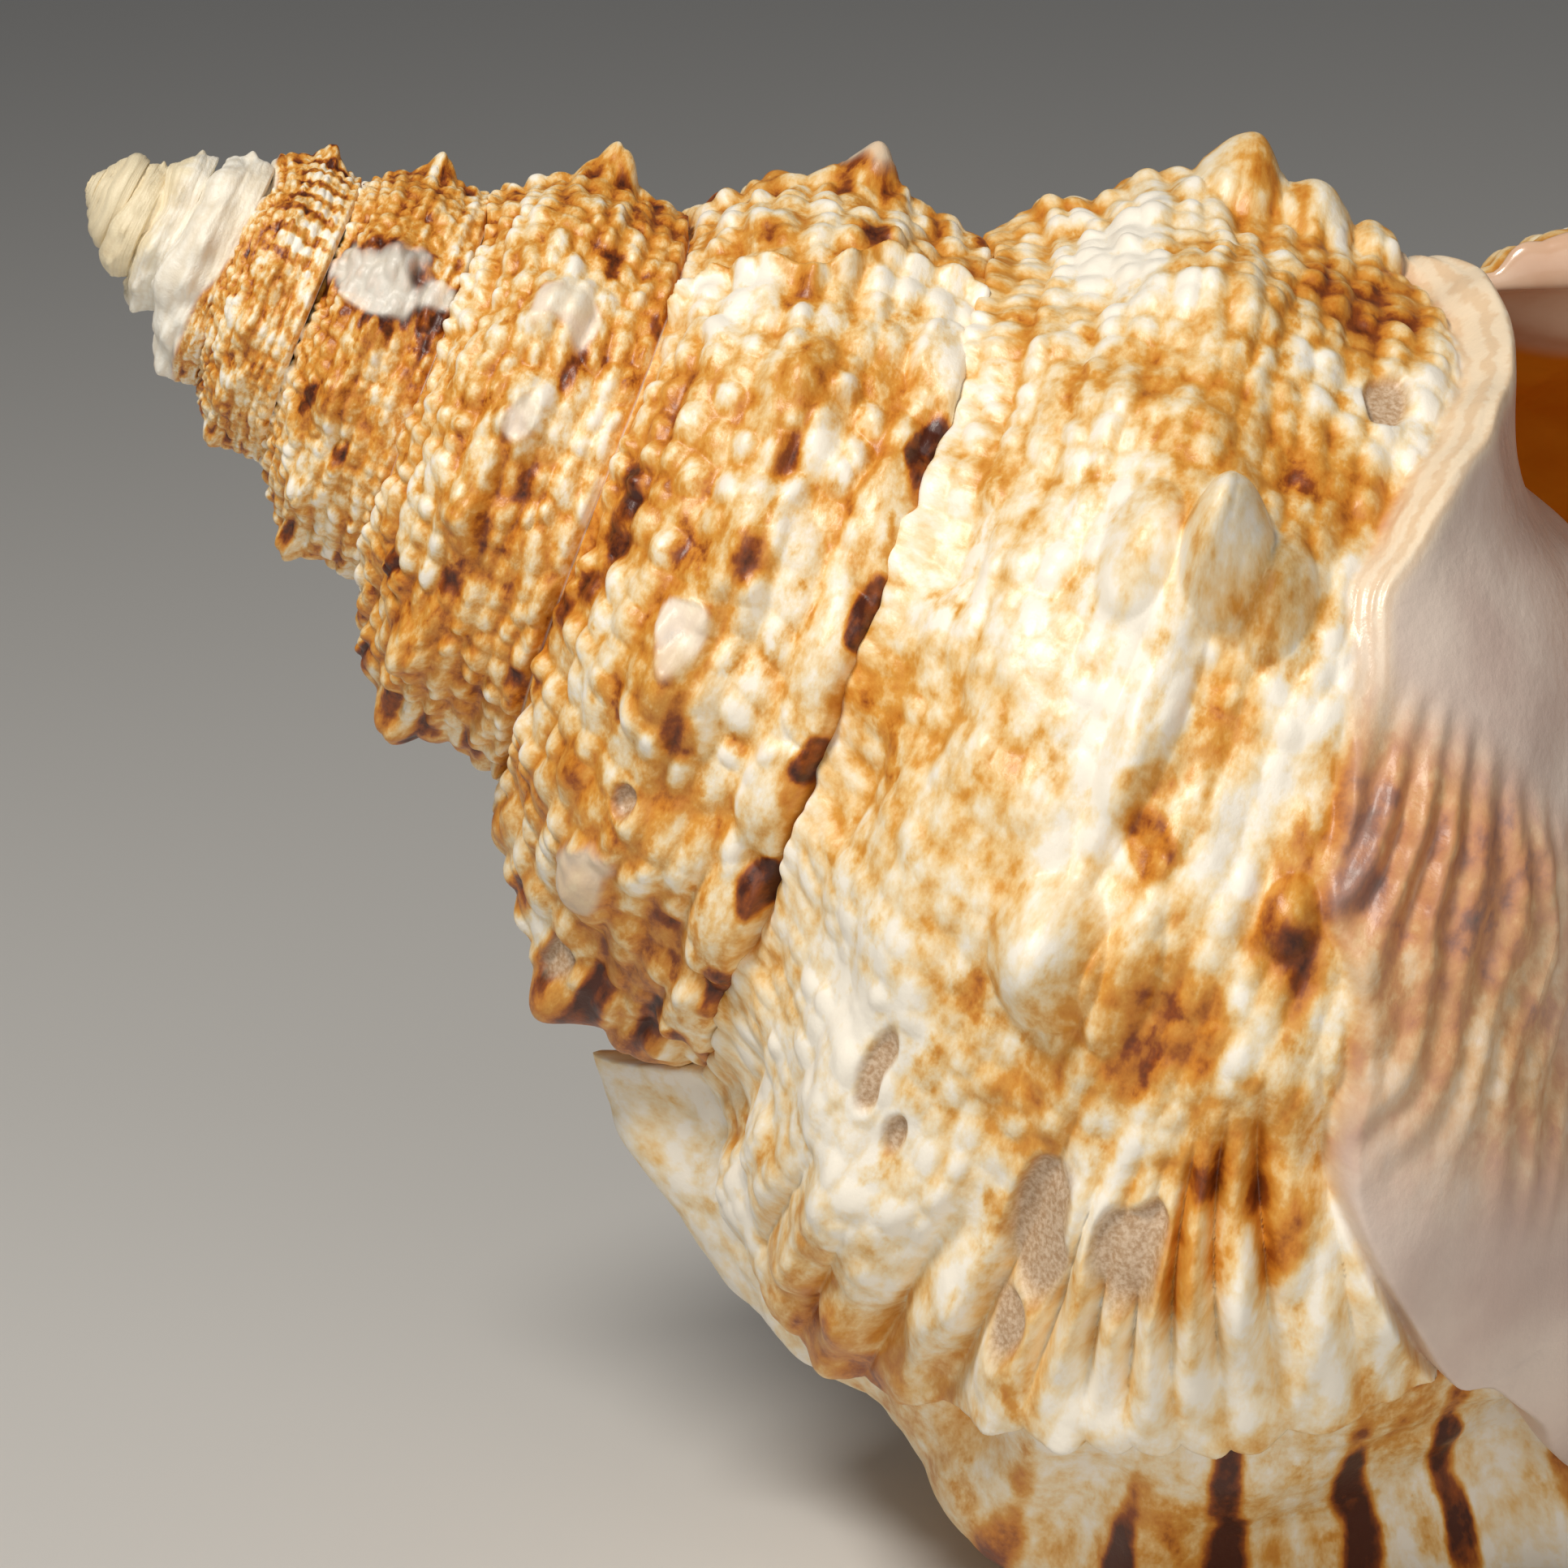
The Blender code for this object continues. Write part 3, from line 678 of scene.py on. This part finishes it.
def mask(tree, name):
    """Attribute that the piece's form has written on its points."""
    return node(tree, "ShaderNodeAttribute", attribute_name=name).outputs["Fac"]


def colour_ramp(tree, value, stops):
    """Colours along a value from 0 to 1; stops are places with their colours."""
    made = node(tree, "ShaderNodeValToRGB")
    tree.links.new(value, made.inputs["Fac"])
    elements = made.color_ramp.elements
    while len(elements) < len(stops):
        elements.new(1.0)
    for element, (place, colour) in zip(elements, stops):
        element.position, element.color = place, colour
    return made.outputs["Color"]


# Soft clouds of two colours, which the glaze, the lip and the throat share.
cloudy_colour = bpy.data.node_groups.new("cloudy_colour", "ShaderNodeTree")
cloudy_colour.interface.new_socket(name="Cells per metre", in_out="INPUT", socket_type="NodeSocketFloat")
for name in ("Light", "Dark"):
    cloudy_colour.interface.new_socket(name=name, in_out="INPUT", socket_type="NodeSocketColor")
cloudy_colour.interface.new_socket(name="Colour", in_out="OUTPUT", socket_type="NodeSocketColor")
given, result = node(cloudy_colour, "NodeGroupInput"), node(cloudy_colour, "NodeGroupOutput")
clouds = noise(cloudy_colour, 60.0, 5.0)
cloudy_colour.links.new(given.outputs["Cells per metre"], clouds.node.inputs["Scale"])
cloudy_colour.links.new(mix(cloudy_colour, remap(cloudy_colour, clouds, 0.35, 0.70), given.outputs["Light"],
                            given.outputs["Dark"]), result.inputs["Colour"])


def cloudy(tree, cells, light, dark):
    """The shared clouds, placed in a material with its own colours."""
    placed = node(tree, "ShaderNodeGroup", node_tree=cloudy_colour)
    placed.inputs["Cells per metre"].default_value = cells
    placed.inputs["Light"].default_value = light
    placed.inputs["Dark"].default_value = dark
    return placed.outputs["Colour"]


# Finish of the outside: cream beads over gold and brown that run along the coil, bone where it is
# worn, tan grit in the scars, and the pinkish glaze with its layered edge.
CLOUD_CELLS = 60.0           # cells per metre, as the next two
FINE_CELLS = 700.0
GRIT_CELLS = 2600.0
POINT_HEIGHTS = (9.0, 7.4)   # millimetres below the apex where the yellow point begins and is full
shell_finish = bpy.data.materials.new("beaded_shell")
shell_finish.use_nodes = True
tree = shell_finish.node_tree
finish = tree.nodes["Principled BSDF"]
patches = noise(tree, CLOUD_CELLS, 5.0)
fine = noise(tree, FINE_CELLS, 4.0)
grit = noise(tree, GRIT_CELLS, 3.0)
streaks = coil_noise(tree, (4.4, 6.0), 4.0)
flecks = coil_noise(tree, (10.0, 12.0), 4.0)
flames = remap(tree, coil_noise(tree, (2.6, 3.4), 5.0), 0.56, 0.70)
shade = total(tree, (flames, 0.20), (mask(tree, "tint"), 1.0), (streaks, 0.84), (flecks, 0.46),
              (mask(tree, "bead"), -0.40), (fine, 0.15))
colour = colour_ramp(tree, math_node(tree, "SUBTRACT", shade, 0.60), [
    (0.00, rgb(250, 243, 228)), (0.13, rgb(245, 226, 188)), (0.26, rgb(236, 197, 132)),
    (0.38, rgb(219, 156, 66)), (0.52, rgb(202, 126, 36)), (0.68, rgb(144, 70, 14)),
    (0.90, rgb(72, 28, 8))])

bone = mix(tree, remap(tree, patches, 0.35, 0.65), rgb(250, 246, 234), rgb(236, 223, 199))
point = mix(tree, remap(tree, patches, 0.4, 0.6), rgb(240, 226, 192), rgb(226, 198, 146))
wavy_height = math_node(tree, "ADD", mask(tree, "height"), math_node(tree, "MULTIPLY", fine, 3.0))
bone = mix(tree, remap(tree, wavy_height, *POINT_HEIGHTS), bone, point)
between_beads = remap(tree, mask(tree, "bead"), 0.0, 0.35, 0.40, 0.0)
bone = mix(tree, between_beads, bone, rgb(214, 192, 154))
colour = mix(tree, mask(tree, "worn"), colour, bone)
scar_colour = mix(tree, remap(tree, grit, 0.3, 0.7), rgb(214, 190, 162), rgb(176, 142, 106))
colour = mix(tree, mask(tree, "scar"), colour, scar_colour)

callus = cloudy(tree, CLOUD_CELLS, rgb(226, 208, 194), rgb(204, 180, 168))
seen_through = mix(tree, 1.0, colour, rgb(240, 226, 212), blend="MULTIPLY")
callus = mix(tree, mask(tree, "thin"), callus, mix(tree, 0.25, seen_through, callus))
lines = math_node(tree, "SINE", total(tree, (mask(tree, "beyond"), 5.6), (fine, 7.0), (patches, 9.0)), 0.0)
layered = mix(tree, remap(tree, lines, -0.6, 0.8), rgb(242, 222, 192), rgb(232, 204, 168))
colour = mix(tree, mask(tree, "glaze"), colour, mix(tree, mask(tree, "rim"), callus, layered))
tree.links.new(colour, finish.inputs["Base Color"])
glossy = total(tree, (mask(tree, "glaze"), 1.0), (mask(tree, "thin"), -1.2))
tree.links.new(remap(tree, glossy, 0.0, 1.0, 0.40, 0.30), finish.inputs["Roughness"])
grain = node(tree, "ShaderNodeBump")
grain.inputs["Strength"].default_value = 0.35
grain.inputs["Distance"].default_value = 0.0003
tree.links.new(total(tree, (fine, 0.6), (flecks, 0.8)), grain.inputs["Height"])
tree.links.new(grain.outputs["Normal"], finish.inputs["Normal"])

SPIRE_ROWS = 94
ribbon("spire_tip", (APEX_TURN, -7.0, -4.0, -3.0), (120, 480, 400), (0.0, 1.0), (SPIRE_ROWS,), skin,
       shell_finish)

# Spire: the middle whorls and the penultimate one, of the same shell, orange-brown between rows of
# cream beads. Each is grown onto the one above it along the suture.
ribbon("spire_middle", (-3.0, -2.0, -1.0), (480, 560), (0.0, 1.0), (SPIRE_ROWS,), skin, shell_finish)
ribbon("penultimate_whorl", (-1.0, -0.48, 0.0), (600, 420), (0.0, 1.0), (SPIRE_ROWS,), skin, shell_finish)

# Body whorl: the last and largest whorl, one with the spire. Its near side goes under the inner
# lip's glaze, which the animal spread over it, and its back runs up to the flared outer lip.
NEAR_TURNS, NEAR_COLUMNS = (0.0, 0.54), (560,)
ribbon("body_whorl_shoulder", NEAR_TURNS, NEAR_COLUMNS, (0.0, 0.75), (170,), skin, shell_finish)
ribbon("body_whorl_side", NEAR_TURNS, NEAR_COLUMNS, (0.75, 1.5), (170,), skin, shell_finish)
ribbon("body_whorl_base", NEAR_TURNS, NEAR_COLUMNS, (1.5, CANAL_END), (171,), skin, shell_finish)
BACK_STOPS, BACK_ROWS = (0.0, 0.75, 1.5, CANAL_END), (85, 85, 57)
ribbon("body_whorl_back", (0.54, 1.0), (430,), BACK_STOPS, BACK_ROWS, skin, shell_finish)

# Parietal wall: the base of the earlier whorl, seen through the aperture. It has the same glaze, laid
# over it as the inner side of the mouth.
ribbon("parietal_wall", (-0.6, 0.0), (240,), (1.0, CANAL_END), (150,), skin, shell_finish)

# Outer lip and throat: the thickened edge of the body whorl, of smooth peach shell, rolls over and
# runs back inside as the glossy orange wall of the mouth.
LIP_RIM = 0.06
LIP_THICKNESS = 7.5
WALL = 3.5
THROAT_TURNS = 0.60
RIM_BULGE = 1.2
WALL_CLEARANCE = 1.0


def lip_and_throat(across, place):
    """Across 0 is the outer edge of the lip, LIP_RIM the inner edge of its rim, and 1 deep inside."""
    rim = np.clip(across / LIP_RIM, 0.0, 1.0)
    inward = np.clip((across - LIP_RIM) / (1.0 - LIP_RIM), 0.0, 1.0)
    turn = 1.0 - THROAT_TURNS * inward
    radius, height, out_r, out_h = whorl_section(turn, place)
    thin = ramp(place, 0.0, 0.30) * (1.0 - 0.5 * ramp(place, 1.6, 2.2))
    thin = thin * (1.0 - 0.9 * ramp(place, 2.3, CANAL_END))
    wall = (WALL + (LIP_THICKNESS - WALL) * ramp(turn, 0.82, 0.95)) * thin
    wall = wall * (0.5 + 0.5 * (1.0 - ramp(turn, 0.97, 1.0)))
    relief = lip_flare(turn, place) - wall

    # Deep inside, the wall closes onto the whorl before
    before = suture_height(turn - 1.0)
    earlier = before * np.maximum(curve(height / before, PROFILE_LEVELS, PROFILE_RADII), 0.0)
    inner_radius = radius + out_r * relief
    inner_radius += (earlier + APEX_ROUNDING - WALL_CLEARANCE - inner_radius) * ramp(inward, 0.90, 1.0)
    around = math.tau * turn
    inner_height = height + out_h * relief
    inner = np.stack((inner_radius * np.cos(around), inner_radius * np.sin(around), inner_height), axis=-1)
    outer, _ = skin(np.ones_like(turn), place)
    share = (0.5 - 0.5 * np.cos(math.pi * rim))[:, None]
    points = outer * (1.0 - share) + inner * share
    points[:, 1] += np.sin(math.pi * rim) * RIM_BULGE * thin
    return points, {"throat": ramp(1.0 - turn, 0.034, 0.048)}


throat_finish = bpy.data.materials.new("peach_lip_and_orange_throat")
throat_finish.use_nodes = True
tree = throat_finish.node_tree
finish = tree.nodes["Principled BSDF"]
peach = cloudy(tree, CLOUD_CELLS, rgb(226, 196, 168), rgb(206, 160, 128))
orange = cloudy(tree, CLOUD_CELLS, rgb(226, 140, 30), rgb(206, 112, 12))
tree.links.new(mix(tree, mask(tree, "throat"), peach, orange), finish.inputs["Base Color"])
finish.inputs["Roughness"].default_value = 0.18
ribbon("outer_lip_and_throat", (0.0, LIP_RIM, 0.3, 1.0), (24, 90, 106), BACK_STOPS, BACK_ROWS,
       lip_and_throat, throat_finish)

# Floor and studio light: a plain pale floor, a small warm key from the upper left in front, and a
# soft fill from the front and all round.
FLOOR_HALF = 3.0
floor_sheet = bmesh.new()
bmesh.ops.create_grid(floor_sheet, x_segments=1, y_segments=1, size=FLOOR_HALF)
floor_mesh = bpy.data.meshes.new("floor")
floor_sheet.to_mesh(floor_mesh)
floor_sheet.free()
floor = bpy.data.objects.new("floor", floor_mesh)
floor_finish = bpy.data.materials.new("pale_floor")
floor_finish.use_nodes = True
finish = floor_finish.node_tree.nodes["Principled BSDF"]
finish.inputs["Base Color"].default_value = rgb(214, 212, 208)
finish.inputs["Roughness"].default_value = 0.8
floor_mesh.materials.append(floor_finish)
bpy.context.scene.collection.objects.link(floor)

SHELL_MIDDLE = Vector((0.0, 0.0, 0.05))


def area_light(name, place, size, power, colour):
    """Round soft light that looks at the middle of the shell."""
    data = bpy.data.lights.new(name, "AREA")
    data.shape = "DISK"
    data.size = size
    data.energy = power
    data.color = colour
    light = bpy.data.objects.new(name, data)
    light.location = place
    light.rotation_euler = (SHELL_MIDDLE - Vector(place)).to_track_quat("-Z", "Y").to_euler()
    bpy.context.scene.collection.objects.link(light)


area_light("key", (-0.25, -0.45, 0.75), 0.22, 5.6, (1.0, 0.955, 0.89))
area_light("fill", (0.15, -0.70, 0.30), 0.6, 1.5, (1.0, 0.97, 0.94))
world = bpy.data.worlds.new("studio")
world.use_nodes = True
background = world.node_tree.nodes["Background"]
background.inputs["Color"].default_value = (0.80, 0.82, 0.85, 1.0)
background.inputs["Strength"].default_value = 0.12
bpy.context.scene.world = world
bpy.context.scene.view_settings.view_transform = "Standard"
